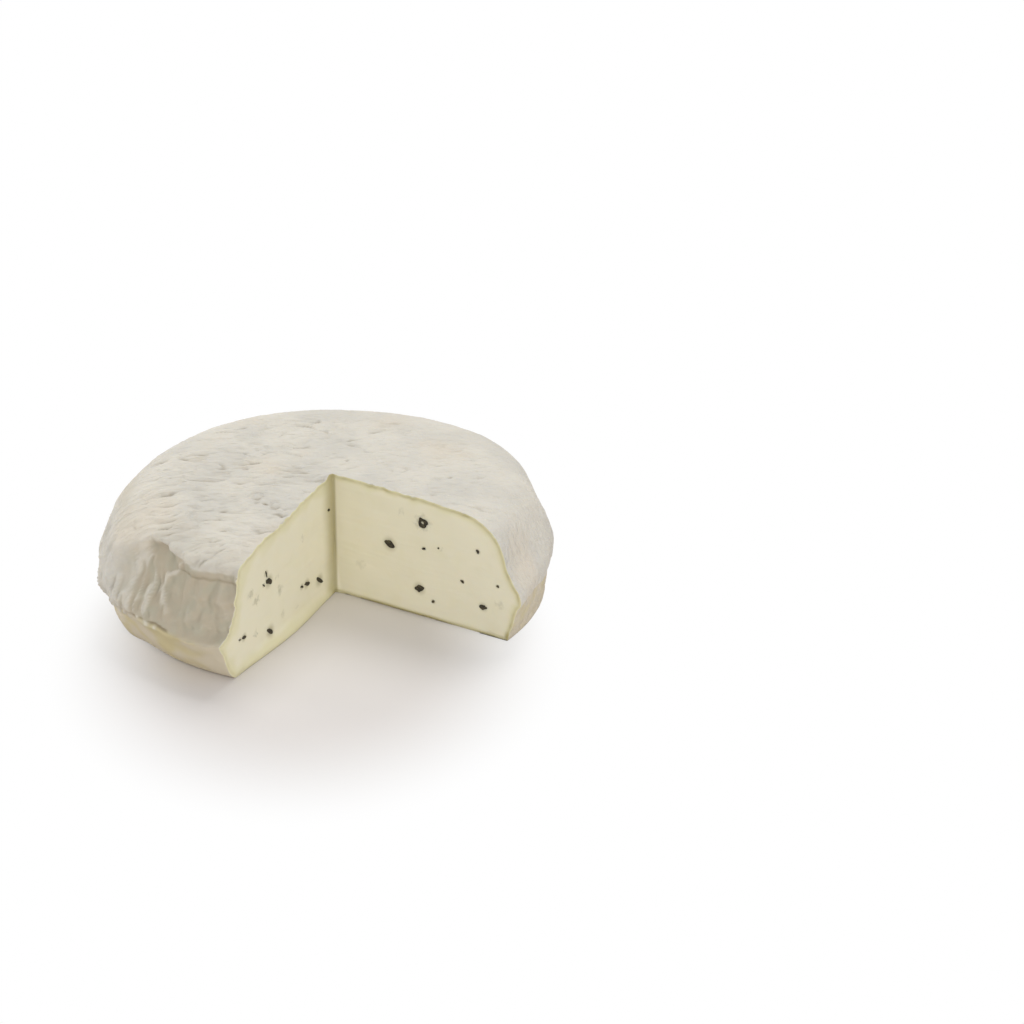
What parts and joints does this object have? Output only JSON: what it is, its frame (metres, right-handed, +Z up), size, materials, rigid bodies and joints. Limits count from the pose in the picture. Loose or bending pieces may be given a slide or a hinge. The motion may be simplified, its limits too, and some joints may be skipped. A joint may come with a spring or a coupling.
{
  "type": "robiola cheese",
  "caption": "Small soft-ripened cheese wheel with a white wrinkled rind, cut open at a wedge-shaped notch that shows ivory paste with dark truffle flecks.",
  "frame": {"origin": "the tip of the cut, where its two faces meet, on the underside that the cheese rests on", "axes": "+Z up through the thickness of the cheese; +X along the foot of one cut face, with the missing piece on its -Y side"},
  "size_m": [0.1221, 0.1216, 0.0363],
  "materials": {
    "rind": "matte, mealy white mould rind",
    "paste": "soft, moist, slightly translucent ivory cheese paste",
    "truffle": "matt, dark chopped truffle"
  },
  "bodies": {
    "root": {"cheese": "rind"}
  },
  "joints": []
}
